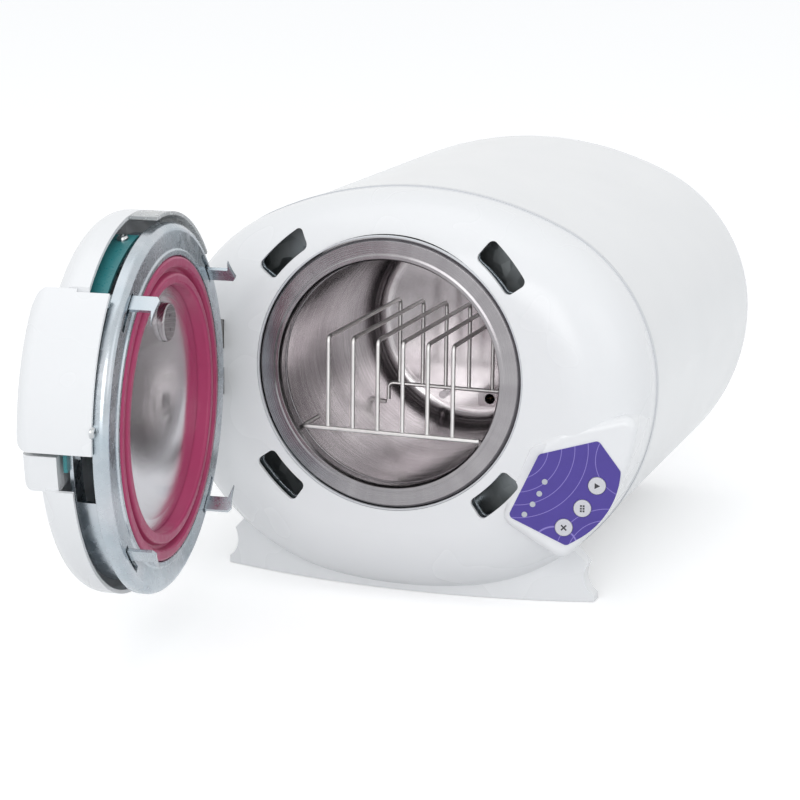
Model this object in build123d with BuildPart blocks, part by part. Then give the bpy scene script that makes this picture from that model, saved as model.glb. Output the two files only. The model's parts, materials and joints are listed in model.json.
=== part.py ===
from build123d import *
from math import acos, atan2, cos, degrees, radians, sin, sqrt
import os

# Small tabletop steam autoclave, millimetres.
# X runs to the right, Y to the back, Z up. The origin is on the bench, under the
# chamber axis, in the middle of the wall of the front skirt. The door is drawn
# closed, then turned about its hinge to stand open.

os.makedirs("parts", exist_ok=True)

# Body
half_width = 175.0
crown = 122.0
crown_radius = 250.0
shoulder_radius = 120.0
flank_radius = 150.0
keel_radius = 300.0
dome_radius = 50.0
seam_y = 30.0
rear_y = 355.0
belly_height = 12.0
belly_rise = 12.3058
panel_wall = 2.5
barrel_wall = 2.0
trim_width = 4.0
trim_proud = 0.8
barrel_set = 0.8
cap_depth = 12.0
cap_round = 8.0

# Front skirt
skirt_half_width = 138.0
skirt_bow = 465.0
skirt_neck = 119.0
skirt_neck_height = 42.0
skirt_waist = 131.0
skirt_waist_height = 15.0
skirt_toe_height = 5.0
skirt_bulge = 2.0
skirt_bulge_height = 27.0
skirt_top = 56.0

# Control pod
pod_slope = 0.2
pod_y = -35.5
pod_corner_x = 101.0
pod_margin = 0.5
pod_round = 6.0
pod_corner = 9.0
pod_relief = 1.2
film_wall = 0.6
key_radius = 6.0
key_travel = 0.8
key_clear = 0.3
key_proud = 1.4
key_stem = 2.0
key_skirt = 3.0
key_rest = 0.15
led_radius = 2.0
board_set = 14.0
board_wall = 1.6
board_margin = 6.0
board_post = 3.0
switch_size = 6.0
switch_height = 3.0

# Control pod and keypad outlines, each point seen from the front about the chamber axis
pod_corners = [(84, -93), (103, -42), (122, -29), (176, -14), (176, -60), (128, -122)]
film_corners = [(110.2, -45.3), (149.4, -34.2), (164.6, -54.9), (160.8, -74.8), (137.3, -103.6)]
film_corners += [(129.8, -108.4), (90.5, -89.5)]
key_places = [(149.2, -65.4), (139.9, -81.6), (127.9, -95.6)]
key_names = ["key_start", "key_mode", "key_stop"]
led_places = [(114.5, -64.2), (111.1, -72.7), (106.8, -80.3), (101.5, -87.7)]
post_places = [(118, -52), (147, -45), (125, -82)]

# Chamber
ring_y = -30.0
ring_radius = 95.0
ring_depth = 12.0
ring_gap = 1.5
ring_bead = 0.6
chamber_radius = 79.0
chamber_wall = 2.0
chamber_back = 175.0
chamber_knuckle = 12.0
heater_wall = 3.0
heater_front = 38.0
heater_back = 112.0
jacket_wall = 12.0
jacket_front = 14.0
jacket_back = 170.0
bulkhead_y = 10.0
bulkhead_wall = 2.0
bulkhead_set = 6.0
cradle_y = 150.0
cradle_wall = 3.0
tray_wall = 2.0
tray_inset = 3.1
tray_flange = 6.0
lip_width = 20.0
foot_radius = 10.0
foot_inset = 10.1
foot_front = 70.0
foot_set = 35.0
stud_radius = 2.5
port_x = 15.5
port_z = -57.0
port_radius = 4.0
port_block = 12.0
probe_x = -22.0
probe_radius = 3.0

# Pipework and power at the rear
pipe_radius = 5.0
pipe_wall = 1.0
manifold_y = 205.0
manifold_depth = 25.0
manifold_half = 13.0
valve_depth = 40.0
valve_width = 24.0
valve_height = 20.0
coil_width = 26.0
coil_length = 30.0
coil_height = 28.0
coil_neck = 6.0
pipe_stop = 10.0
outlet_reach = 15.0
relief_height = 42.0
rocker_x = -62.0
rocker_z = -52.0
rocker_width = 15.0
rocker_half = 10.5
rocker_tilt = 10.0
inlet_x = -62.0
inlet_z = -92.0
inlet_width = 27.0
inlet_height = 20.0
flange_wall = 2.0
fuse_x = -30.0
fuse_z = -92.0
fuse_radius = 6.0
board_low = 8.0
board_set_back = 95.0
board_width = 68.0
board_length = 110.0

# Locking plate and the slots that the claws enter
claws = 4
slot_radius = 111.1
slot_width = 15.8
slot_sweep = 19.0
slot_corner = 4.0
plate_set = 9.4
plate_wall = 2.0
plate_radius = 121.0
plate_open = 25.0
spacer_ring = 108.0
spacer_radius = 3.5
spacer_angles = [0, 180, 240, 300]

# Door, closed: each depth is measured forward from the chamber ring's face
hinge_x = -128.6
hinge_out = 22.9
door_angle = 84.5
pin_radius = 3.0
knuckle_radius = 6.2
pin_low = -26.0
ear_spans = [(-24.0, -5.0), (9.0, 29.0)]
knuckle_span = (-4.7, 8.7)
leaf_x = -123.0
leaf_wall = 3.0
leaf_foot = 15.0
arm_back = 21.0
arm_wall = 4.0
arm_length = 88.0
gasket_gap = 1.2
gasket_radius = 98.5
gasket_inner = 80.5
gasket_depth = 11.0
pan_floor = 14.2
gasket_groove = 4.0
pan_radius = 120.0
pan_wall = 2.0
pan_front = 2.8
pan_round = 5.0
pan_edge = 12.0
pan_lip = 3.5
pan_lip_rise = 1.0
disc_rise = 5.2
disc_wall = 2.0
disc_clear = 0.3
vent_height = 56.0
vent_radius = 12.5
vent_wall = 3.0
hub_radius = 14.0
hub_shoulder = 18.0
post_ring = 70.0
post_start = 20.0
post_radius = 5.0
cover_radius = 124.0
cover_wall = 2.5
cover_front = 50.0
cover_round = 16.0
cover_edge = 25.0
cover_rise = 3.0
shroud_front = 6.0
shroud_wall = 2.2
shroud_start = 84.0
shroud_end = 137.0
hinge_notch = 112.0
hinge_notch_half = 36.0

# Lock ring and its grip
lock_turn = 7.0
claw_radius = 112.4
claw_wall = 2.4
claw_sweep = 5.5
claw_lead = 3.0
barb_sweep = 5.0
barb_depth = 3.8
barb_rake = 2.0
claw_band_start = -128.0
claw_band_end = -19.0
claw_band_reach = 13.0
claw_clear = 0.5
claw_gap = 1.0
claw_plate_front = 30.0
claw_plate_wall = 2.5
claw_ring_inner = 98.0
claw_hub = 30.0
spoke_width = 24.0
spoke_lead = 2.0
lever_start = -8.0
lever_end = 82.0
lever_inner = 92.0
lever_radius = 116.0
lever_wall = 2.5
lever_gap = 0.5
lever_rim_start = 18.0
lever_rim = 13.0
screw_radius = 2.0
screw_head = 4.0
screw_rise = 2.2
lever_screws = [-4.0, 18.0, 55.0, 78.0]
grip_front = 62.0
grip_chord = 86.0
grip_wall = 2.5
grip_round = 10.0
grip_low = -2.6
grip_clear = 1.0
grip_edge = 11.3
grip_slant = 0.34
stop_angle = -14.1

# Wire rack
wire = 3.0
loops = 6
loop_pitch = 18.2
loop_front = -24.0
loop_length = 154.0
loop_top = 22.0
loop_round = 4.0
rack_floor = -43.0
runner = 30.0
drop_in = 10.0

# Fits
fit = 0.05
slip = 0.3

# Shape of the body section, seen from the front about the chamber axis
crown_centre = crown - crown_radius
shoulder_x = half_width - shoulder_radius
widest = crown_centre + sqrt((crown_radius - shoulder_radius) ** 2 - shoulder_x**2)
flank_x = half_width - flank_radius
keel_centre = widest + sqrt((keel_radius - flank_radius) ** 2 - flank_x**2)
axis_height = belly_height - belly_rise + keel_radius - keel_centre
crown_end = degrees(atan2(widest - crown_centre, shoulder_x))
flank_sweep = degrees(atan2(keel_centre - widest, flank_x))

chamber_axis = Axis((0, 0, axis_height), (0, 1, 0))
hinge_y = ring_y - hinge_out
hinge_axis = Axis((hinge_x, hinge_y, 0), (0, 0, 1))
flank_drop = axis_height - belly_height + widest
belly_half = flank_x + sqrt((flank_radius - barrel_set) ** 2 - flank_drop**2)
foot_x = belly_half - foot_inset
tray_half_width = belly_half - tray_inset
wrap_front = seam_y + trim_width
cap_y = rear_y - cap_depth
gasket_back = gasket_gap + gasket_depth
feet_places = [(side * foot_x, y) for side in (-1, 1) for y in (foot_front, rear_y - foot_set)]
pipe_end = rear_y - pipe_stop
board_centre = (-36.0, rear_y - board_set_back)


def front_plane(y):
    """Plane seen from the front, its centre on the chamber axis"""
    return Plane(origin=(0, y, axis_height), x_dir=(1, 0, 0), z_dir=(0, -1, 0))


def side_plane():
    """Half plane for turned pieces: local x is Y, local y is the radius"""
    return Plane(origin=(0, 0, axis_height), x_dir=(0, 1, 0), z_dir=(1, 0, 0))


def save(piece, name):
    """Label a finished piece and write its file"""
    piece.label = name
    export_step(piece, f"parts/{name}.step")


def save_on_door(piece, name, rise=0.0):
    """Write a piece of the door, raised and then swung open about the hinge"""
    save(piece.moved(Location((0, 0, rise))).rotate(hinge_axis, -door_angle), name)


def oval(y, grow):
    """Section of the body, made wider all round by grow"""
    with BuildSketch(front_plane(y)) as section:
        with BuildLine():
            CenterArc((0, crown_centre), crown_radius + grow, crown_end, 180 - 2 * crown_end)
            CenterArc((-shoulder_x, widest), shoulder_radius + grow, 180 - crown_end, crown_end)
            CenterArc((-flank_x, widest), flank_radius + grow, 180, flank_sweep)
            CenterArc((0, keel_centre), keel_radius + grow, 180 + flank_sweep, 180 - 2 * flank_sweep)
            CenterArc((flank_x, widest), flank_radius + grow, -flank_sweep, flank_sweep)
            CenterArc((shoulder_x, widest), shoulder_radius + grow, 0, crown_end)
        make_face()
    return section.sketch


def dome(inset):
    """Rounded front of the body, from its flat face back to the seam"""
    radius = dome_radius - inset
    face = ring_y + inset
    back = max(seam_y, face + radius + 1)
    short = max(radius - (seam_y - face), 0)
    grow = radius - sqrt(radius**2 - short**2) - inset
    with BuildPart() as form:
        extrude(oval(back, grow), amount=back - face)
        fillet(form.faces().sort_by(Axis.Y)[0].edges(), radius)
        split(bisect_by=Plane.XZ.offset(-seam_y), keep=Keep.TOP)
        split(bisect_by=Plane.XY, keep=Keep.TOP)
    return form.part


def skirt(inset):
    """Bowed foot of the front panel, with hollow flanks"""
    side = skirt_half_width - inset
    waist = skirt_waist - inset
    bulge = waist + skirt_bulge
    neck = skirt_neck - inset
    with BuildPart() as form:
        with BuildSketch(Plane.XZ.offset(-seam_y)):
            with BuildLine():
                Line((-side, -inset), (side, -inset))
                Line((side, -inset), (side, skirt_toe_height))
                ThreePointArc((side, skirt_toe_height), (waist, skirt_waist_height), (bulge, skirt_bulge_height))
                Line((bulge, skirt_bulge_height), (neck, skirt_neck_height))
                Line((neck, skirt_neck_height), (neck, skirt_top))
                Line((neck, skirt_top), (-neck, skirt_top))
                Line((-neck, skirt_top), (-neck, skirt_neck_height))
                Line((-neck, skirt_neck_height), (-bulge, skirt_bulge_height))
                ThreePointArc((-bulge, skirt_bulge_height), (-waist, skirt_waist_height), (-side, skirt_toe_height))
                Line((-side, skirt_toe_height), (-side, -inset))
            make_face()
        extrude(amount=seam_y + 10)
        with BuildSketch(Plane.XY.offset(-inset)):
            with Locations((0, skirt_bow + inset - panel_wall / 2)):
                Circle(skirt_bow)
        extrude(amount=2 * skirt_top, mode=Mode.INTERSECT)
    return form.part


def pod_height(x):
    """Y of the pod's face at a distance to the right of the axis"""
    return pod_y + pod_slope * (x - pod_corner_x)


def pod_plane(lift=0.0):
    """Face of the control pod, turned a little to the right"""
    centre = (125.0, pod_height(125.0), axis_height - 78.0)
    plane = Plane(origin=centre, x_dir=Vector(1, pod_slope, 0), z_dir=Vector(pod_slope, -1, 0))
    return plane.offset(lift)


def on_pod(x, z):
    """Point of the pod's face, in the pod plane's own axes"""
    local = pod_plane().to_local_coords(Vector(x, pod_height(x), axis_height + z))
    return (local.X, local.Y)


def film_outline(lift, grow):
    """Five-sided keypad outline with one bowed side"""
    a, b, c, d, e, f, g = [on_pod(*corner) for corner in film_corners]
    with BuildSketch(pod_plane(lift)) as outline:
        with BuildLine():
            Line(a, b)
            Line(b, c)
            ThreePointArc(c, d, e)
            Line(e, f)
            Line(f, g)
            Line(g, a)
        make_face()
        fillet(outline.vertices(), 3.5)
        offset(amount=grow)
    return outline.sketch


def pod_form(inset):
    """Wedge that carries the keypad, cut off by its sloping face and relieved for the rim of the door pan"""
    with BuildPart() as form:
        with BuildSketch(front_plane(seam_y)):
            with BuildLine():
                Polyline(*pod_corners, close=True)
            make_face()
            offset(amount=-inset, kind=Kind.INTERSECTION)
        extrude(amount=seam_y - ring_y + 20)
        extrude(oval(seam_y, -pod_margin - inset), amount=seam_y - ring_y + 20, mode=Mode.INTERSECT)
        fillet(form.edges().filter_by(Axis.Y), pod_corner - inset)
        split(bisect_by=pod_plane(-inset), keep=Keep.BOTTOM)
        face = form.faces().filter_by(pod_plane()).sort_by(SortBy.AREA)[-1]
        fillet(face.edges(), max(pod_round - inset, 1))
        relief = cylinders([(0, 0)], pan_radius + pod_relief + inset, ring_y - pan_front + pod_relief + inset, 40)
        add(relief, mode=Mode.SUBTRACT)
    return form.part


def polar(radius, angle):
    """Point at an angle about the axis, seen from the front"""
    return (radius * cos(radians(angle)), radius * sin(radians(angle)))


def ring(radius, wall, y, depth):
    """Plain ring about the chamber axis, from y forward by depth"""
    with BuildPart() as band:
        with BuildSketch(front_plane(y)):
            Circle(radius)
            Circle(radius - wall, mode=Mode.SUBTRACT)
        extrude(amount=depth)
    return band.part


def sector(radius, inner, start, end, y, depth):
    """Part of a ring between two angles, from y forward by depth"""
    with BuildPart() as piece:
        with BuildSketch(front_plane(y)):
            with BuildLine():
                far = CenterArc((0, 0), radius, start, end - start)
                near = CenterArc((0, 0), inner, start, end - start)
                Line(far @ 0, near @ 0)
                Line(far @ 1, near @ 1)
            make_face()
        extrude(amount=depth)
    return piece.part


def slots(y, depth):
    """The four curved slots that the claws enter"""
    outer = slot_radius + slot_width / 2
    inner = slot_radius - slot_width / 2
    with BuildPart() as cutters:
        for k in range(claws):
            middle = 45 + 90 * k
            add(sector(outer, inner, middle - slot_sweep / 2, middle + slot_sweep / 2, y, depth))
        fillet(cutters.edges().filter_by(Axis.Y), slot_corner)
    return cutters.part


def turned(points, round_offs=()):
    """Solid turned about the chamber axis from (y, radius) points"""
    with BuildPart() as piece:
        with BuildSketch(side_plane()) as profile:
            with BuildLine():
                Polyline(*points, close=True)
            make_face()
            for (y, radius), size in round_offs:
                corner = profile.vertices().sort_by_distance(Vector(y, radius))[0]
                fillet(corner, size)
        revolve(axis=chamber_axis)
    return piece.part


def cylinders(places, radius, y, depth):
    """Round bars along the chamber axis, at places seen from the front"""
    with BuildPart() as bars:
        with BuildSketch(front_plane(y)):
            with Locations(*places):
                Circle(radius)
        extrude(amount=depth)
    return bars.part


def screws(places, y, head, head_wall, shank, length):
    """Pan-head screws along the chamber axis, their heads to the front of y"""
    with BuildPart() as group:
        with BuildSketch(front_plane(y)):
            with Locations(*places):
                Circle(head)
        extrude(amount=head_wall)
        fillet(group.faces().sort_by(Axis.Y)[0 : len(places)].edges(), head_wall * 0.6)
        with BuildSketch(front_plane(y)):
            with Locations(*places):
                Circle(shank)
        extrude(amount=-length)
        with BuildSketch(front_plane(y - head_wall)):
            with Locations(*places):
                Rectangle(head * 1.2, head * 0.3)
                Rectangle(head * 0.3, head * 1.2)
        extrude(amount=-head_wall * 0.5, mode=Mode.SUBTRACT)
    return group.part


def wrap(back, depth, inset):
    """Length of the body section above its flat belly"""
    with BuildPart() as form:
        extrude(oval(back, -barrel_set - inset), amount=depth)
        split(bisect_by=Plane.XY.offset(belly_height + inset), keep=Keep.TOP)
    return form.part


def cap_form(back, inset, round_off):
    """The same section at the rear, its back edge rounded"""
    with BuildPart() as form:
        add(wrap(back, back - cap_y, inset))
        fillet(form.faces().sort_by(Axis.Y)[-1].edges(), round_off)
    return form.part


# Front panel: dome, foot skirt, control pod and board posts in one moulding
with BuildPart() as front_panel:
    add(dome(0))
    add(skirt(0))
    add(pod_form(0))
    add(dome(panel_wall), mode=Mode.SUBTRACT)
    add(skirt(panel_wall), mode=Mode.SUBTRACT)
    add(pod_form(panel_wall), mode=Mode.SUBTRACT)
    with BuildSketch(front_plane(seam_y)):
        Circle(ring_radius + ring_gap)
    extrude(amount=seam_y - ring_y + 10, mode=Mode.SUBTRACT)
    add(slots(seam_y, seam_y - ring_y + 10), mode=Mode.SUBTRACT)
    with BuildSketch(pod_plane(-2 * panel_wall)):
        with Locations(*[on_pod(*place) for place in key_places]):
            Circle(key_radius + key_clear)
        with Locations(*[on_pod(*place) for place in led_places]):
            Circle(led_radius)
    extrude(amount=4 * panel_wall, mode=Mode.SUBTRACT)
    for low, high in ear_spans:
        with BuildSketch(Plane.XY.offset(axis_height + low - slip)):
            with Locations((leaf_x, ring_y)):
                Rectangle(leaf_wall + 2 * slip, 2 * (seam_y - ring_y))
        extrude(amount=high - low + 2 * slip, mode=Mode.SUBTRACT)
    with BuildSketch(pod_plane(-board_set)):
        with Locations(*[on_pod(*place) for place in post_places]):
            Circle(board_post)
    extrude(amount=board_set - panel_wall + 0.5)
save(front_panel.part, "front_panel")

# Bead in the seam between panel and barrel
with BuildPart() as seam_trim:
    extrude(oval(wrap_front, trim_proud), amount=trim_width)
    extrude(oval(wrap_front, -panel_wall), amount=trim_width, mode=Mode.SUBTRACT)
    split(bisect_by=Plane.XY.offset(belly_height), keep=Keep.TOP)
save(seam_trim.part, "seam_trim")

# Sheet wrap of the barrel, with lips turned in underneath
with BuildPart() as barrel_shell:
    add(wrap(cap_y, cap_y - wrap_front, 0))
    add(wrap(cap_y, cap_y - wrap_front, barrel_wall), mode=Mode.SUBTRACT)
    opening = belly_half - lip_width
    with BuildSketch(Plane.XY.offset(belly_height)):
        with Locations((0, (wrap_front + cap_y) / 2)):
            Rectangle(2 * opening, cap_y - wrap_front)
        with Locations(*feet_places):
            Circle(stud_radius + fit)
    extrude(amount=barrel_wall, mode=Mode.SUBTRACT)
save(barrel_shell.part, "barrel_shell")

# Rear cover: shallow cap with vents and holes for what passes through it
with BuildPart() as rear_cover:
    add(cap_form(rear_y, 0, cap_round))
    add(cap_form(rear_y - panel_wall, barrel_wall, cap_round - panel_wall), mode=Mode.SUBTRACT)
    with BuildSketch(front_plane(rear_y)):
        with Locations((0, 60)):
            with GridLocations(9, 0, 11, 1):
                SlotOverall(40, 4, rotation=90)
        with Locations((rocker_x, rocker_z)):
            Rectangle(rocker_width + 4 + 2 * slip, 2 * rocker_half + 6 + 2 * slip)
        with Locations((inlet_x, inlet_z)):
            Rectangle(inlet_width + 2 * slip, inlet_height + 2 * slip)
        with Locations((fuse_x, fuse_z - 9), (fuse_x, fuse_z + 9)):
            Circle(fuse_radius + slip)
        with Locations((port_x, port_z)):
            Circle(pipe_radius + slip)
    extrude(amount=cap_depth, mode=Mode.SUBTRACT)
save(rear_cover.part, "rear_cover")

# Base tray: a channel that lies on the lips of the barrel
tray_z = belly_height + barrel_wall
tray_top = tray_z + tray_wall
with BuildPart() as base_tray:
    with BuildSketch(Plane.XY.offset(tray_z)):
        with Locations((0, bulkhead_y)):
            Rectangle(2 * tray_half_width, cap_y - bulkhead_y, align=(Align.CENTER, Align.MIN))
    extrude(amount=tray_wall)
    with BuildSketch(Plane.XY.offset(tray_top)):
        for side in (-1, 1):
            with Locations((side * (tray_half_width - tray_wall / 2), bulkhead_y + bulkhead_wall)):
                length = cap_y - bulkhead_y - bulkhead_wall
                Rectangle(tray_wall, length, align=(Align.CENTER, Align.MIN))
    extrude(amount=tray_flange)
    with BuildSketch(Plane.XY.offset(tray_z)):
        with Locations(*feet_places):
            Circle(stud_radius + fit)
    extrude(amount=tray_wall, mode=Mode.SUBTRACT)
save(base_tray.part, "base_tray")

# Rubber feet, each with its stud through lip and tray
with BuildPart() as feet:
    with BuildSketch(Plane.XY):
        with Locations(*feet_places):
            Circle(foot_radius)
    extrude(amount=belly_height, taper=3)
    with BuildSketch(Plane.XY.offset(belly_height)):
        with Locations(*feet_places):
            Circle(stud_radius)
    extrude(amount=barrel_wall + tray_wall + 3)
save(feet.part, "feet")

# Bulkhead: upright sheet that carries the chamber, the hinge and the locking plate
with BuildPart() as bulkhead:
    extrude(oval(bulkhead_y + bulkhead_wall, -bulkhead_set), amount=bulkhead_wall)
    split(bisect_by=Plane.XY.offset(tray_top), keep=Keep.TOP)
    with BuildSketch(front_plane(bulkhead_y + bulkhead_wall)):
        Circle(chamber_radius + chamber_wall + slip)
        with Locations((130, -60), (-130, -60), (0, -130)):
            Circle(12)
    extrude(amount=bulkhead_wall, mode=Mode.SUBTRACT)
save(bulkhead.part, "bulkhead")

# Locking plate behind the slots, open at the top where the dome leaves no room
plate_y = ring_y + plate_set
with BuildPart() as locking_plate:
    start = 90 + plate_open - 360
    back = plate_y + plate_wall
    add(sector(plate_radius, ring_radius + slip, start, 90 - plate_open, back, plate_wall))
    add(dome(panel_wall + slip), mode=Mode.INTERSECT)
    add(slots(back, plate_wall), mode=Mode.SUBTRACT)
save(locking_plate.part, "locking_plate")

spacer_places = [polar(spacer_ring, angle) for angle in spacer_angles]
spacer_length = bulkhead_y - plate_y - plate_wall
save(cylinders(spacer_places, spacer_radius, bulkhead_y, spacer_length), "plate_spacers")

# Chamber: turned ring in front, welded vessel behind it
ring_profile = [
    (ring_y + 3, ring_radius),
    (ring_y, ring_radius - 2.5),
    (ring_y, chamber_radius + 5),
    (ring_y - ring_bead, chamber_radius + 3.5),
    (ring_y - ring_bead, chamber_radius + 1.5),
    (ring_y + 2.5, chamber_radius),
    (ring_y + ring_depth, chamber_radius),
    (ring_y + ring_depth, ring_radius),
]
save(turned(ring_profile), "chamber_ring")

vessel_y = ring_y + ring_depth
vessel_radius = chamber_radius + chamber_wall
chamber_end = chamber_back + chamber_wall
weld_y = chamber_end - chamber_knuckle - chamber_wall
save(ring(vessel_radius, chamber_wall, weld_y, weld_y - vessel_y), "chamber_vessel")

# Pressed end of the vessel, welded to the tube
with BuildPart() as chamber_cap:
    outer = [(weld_y, 0), (weld_y, vessel_radius), (chamber_end, vessel_radius), (chamber_end, 0)]
    inner = [(weld_y, 0), (weld_y, chamber_radius), (chamber_back, chamber_radius), (chamber_back, 0)]
    add(turned(outer, [((chamber_end, vessel_radius), chamber_knuckle + chamber_wall - fit)]))
    add(turned(inner, [((chamber_back, chamber_radius), chamber_knuckle - fit)]), mode=Mode.SUBTRACT)
    add(cylinders([(port_x, port_z)], port_radius, chamber_end, chamber_wall), mode=Mode.SUBTRACT)
    add(cylinders([(probe_x, port_z)], probe_radius + fit, chamber_end, chamber_wall), mode=Mode.SUBTRACT)
save(chamber_cap.part, "chamber_end")

# Port block on the back wall, inside the chamber
with BuildPart() as chamber_port:
    with BuildSketch(front_plane(chamber_back)):
        with Locations((port_x, port_z)):
            RectangleRounded(port_block * 1.5, port_block, 1.5)
            Circle(port_radius, mode=Mode.SUBTRACT)
    extrude(amount=port_block)
save(chamber_port.part, "chamber_port")

# Temperature probe through the back wall
with BuildPart() as temperature_probe:
    add(cylinders([(probe_x, port_z)], probe_radius, chamber_end, 14))
    with BuildSketch(front_plane(chamber_end + 8)):
        with Locations((probe_x, port_z)):
            RegularPolygon(6, 6)
    extrude(amount=8)
    add(cylinders([(probe_x, port_z)], probe_radius, chamber_end + 22, 14))
save(temperature_probe.part, "temperature_probe")

# Heater band clamped round the vessel
heater_radius = vessel_radius + fit + heater_wall
with BuildPart() as heater_band:
    length = heater_back - heater_front
    add(ring(heater_radius, heater_wall, heater_back, length))
    with BuildSketch(front_plane(heater_back)):
        with Locations((0, -heater_radius)):
            Rectangle(4, 3 * heater_wall)
    extrude(amount=length, mode=Mode.SUBTRACT)
save(heater_band.part, "heater_band")

# Insulation in two halves
with BuildPart() as insulation:
    add(ring(heater_radius + slip + jacket_wall, jacket_wall, jacket_back, jacket_back - jacket_front))
    with BuildSketch(front_plane(jacket_back)):
        Rectangle(4 * heater_radius, 2 * slip)
    extrude(amount=jacket_back - jacket_front, mode=Mode.SUBTRACT)
save(insulation.part, "insulation")

# Cradle that holds the jacket on the tray
with BuildPart() as rear_cradle:
    with BuildSketch(front_plane(cradle_y + cradle_wall)):
        with Locations((0, tray_top - axis_height)):
            half = tray_half_width - tray_wall - slip
            Rectangle(2 * half, axis_height - tray_top - 40, align=(Align.CENTER, Align.MIN))
        Circle(heater_radius + jacket_wall + 2 * slip, mode=Mode.SUBTRACT)
        with Locations((-45, -120), (45, -120)):
            Circle(12, mode=Mode.SUBTRACT)
    extrude(amount=cradle_wall)
save(rear_cradle.part, "rear_cradle")

# Pipework behind the chamber, all on the line of the port
outlet = [(port_x, port_z)]


def pipe(y, length):
    """Tube on the line of the port, from y forward by length"""
    with BuildPart() as tube:
        add(cylinders(outlet, pipe_radius, y, length))
        add(cylinders(outlet, pipe_radius - pipe_wall, y, length), mode=Mode.SUBTRACT)
    return tube.part


save(pipe(manifold_y, manifold_y - chamber_end), "steam_pipe")

manifold_end = manifold_y + manifold_depth
with BuildPart() as manifold:
    with BuildSketch(front_plane(manifold_end)):
        with Locations(*outlet):
            RectangleRounded(2 * manifold_half, 2 * manifold_half, 2)
            Circle(pipe_radius - pipe_wall, mode=Mode.SUBTRACT)
    extrude(amount=manifold_depth)
save(manifold.part, "manifold")

# Bracket from the tray up to the manifold
manifold_low = axis_height + port_z - manifold_half
with BuildPart() as manifold_bracket:
    with BuildSketch(Plane.XZ.offset(-manifold_end)):
        with Locations((port_x, tray_top)):
            Rectangle(2 * manifold_half, manifold_low - tray_top, align=(Align.CENTER, Align.MIN))
    extrude(amount=tray_wall)
    with BuildSketch(Plane.XY.offset(tray_top)):
        with Locations((port_x, manifold_end - tray_wall)):
            Rectangle(2 * manifold_half, 20, align=(Align.CENTER, Align.MAX))
    extrude(amount=tray_wall)
save(manifold_bracket.part, "manifold_bracket")

# Relief valve on the manifold
relief_axis = (port_x, manifold_y + manifold_depth / 2)
with BuildPart() as safety_valve:
    with BuildSketch(Plane.XY.offset(axis_height + port_z + manifold_half)):
        with Locations(relief_axis):
            RegularPolygon(8, 6)
    extrude(amount=8)
    with BuildSketch(safety_valve.faces().sort_by(Axis.Z)[-1]):
        Circle(6)
    extrude(amount=relief_height - 8)
    fillet(safety_valve.faces().sort_by(Axis.Z)[-1].edges(), 2)
save(safety_valve.part, "safety_valve")

# Pressure switch on the side of the manifold
with BuildPart() as pressure_switch:
    side = Plane(
        origin=(port_x + manifold_half, manifold_y + manifold_depth / 2, axis_height + port_z),
        z_dir=(1, 0, 0),
    )
    with BuildSketch(side):
        Circle(5)
    extrude(amount=8)
    with BuildSketch(side.offset(8)):
        Circle(manifold_half - 2)
    extrude(amount=14)
save(pressure_switch.part, "pressure_switch")

# Solenoid valve: body, coil and yoke in line with the pipe
valve_end = manifold_end + valve_depth
with BuildPart() as solenoid_valve:
    with BuildSketch(front_plane(valve_end)):
        with Locations(*outlet):
            RectangleRounded(valve_width, valve_height, 2)
    extrude(amount=valve_depth)
    valve_top = axis_height + port_z + valve_height / 2
    with BuildSketch(Plane.XY.offset(valve_top)):
        with Locations((port_x, manifold_end + valve_depth / 2)):
            Circle(6)
    extrude(amount=coil_neck)
    with BuildSketch(Plane.XY.offset(valve_top + coil_neck)):
        with Locations((port_x, manifold_end + valve_depth / 2)):
            RectangleRounded(coil_width, coil_length, 4)
    extrude(amount=coil_height)
save(solenoid_valve.part, "solenoid_valve")
save(pipe(pipe_end, pipe_end - valve_end), "exhaust_pipe")

# Exhaust fitting through the rear cover, with a hose barb
with BuildPart() as exhaust_fitting:
    bore = pipe_radius - pipe_wall - 1
    reach = rear_y + outlet_reach
    barbs = [rear_y + flange_wall + 3 + 4 * k for k in range(3)]
    with BuildSketch(Plane.YZ):
        with BuildLine():
            Polyline(
                (pipe_end, bore),
                (pipe_end, pipe_radius),
                (rear_y, pipe_radius),
                (rear_y, pipe_radius + 4),
                (rear_y + flange_wall, pipe_radius + 4),
                (rear_y + flange_wall, pipe_radius - 1),
                *[point for y in barbs for point in ((y, pipe_radius - 1), (y, pipe_radius))],
                (reach, pipe_radius - 1.2),
                (reach, bore),
                close=True,
            )
        make_face()
    revolve(axis=Axis((0, 0, 0), (0, 1, 0)))
exhaust_fitting.part.position = (port_x, 0, axis_height + port_z)
save(exhaust_fitting.part, "exhaust_fitting")

# Mains inlet: flanged socket with three pins
with BuildPart() as mains_inlet:
    with BuildSketch(front_plane(rear_y + flange_wall)):
        with Locations((inlet_x, inlet_z)):
            RectangleRounded(inlet_width + 12, inlet_height + 6, 3)
    extrude(amount=flange_wall)
    with BuildSketch(front_plane(rear_y)):
        with Locations((inlet_x, inlet_z)):
            RectangleRounded(inlet_width, inlet_height, 3)
    extrude(amount=16)
    with BuildSketch(front_plane(rear_y + flange_wall)):
        with Locations((inlet_x, inlet_z)):
            RectangleRounded(inlet_width - 3, inlet_height - 3, 2)
    extrude(amount=16, mode=Mode.SUBTRACT)
    with BuildSketch(front_plane(rear_y - 1)):
        with Locations((inlet_x, inlet_z + 3), (inlet_x - 7, inlet_z - 2), (inlet_x + 7, inlet_z - 2)):
            Rectangle(2, 4)
    extrude(amount=15)
save(mains_inlet.part, "mains_inlet")

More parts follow.
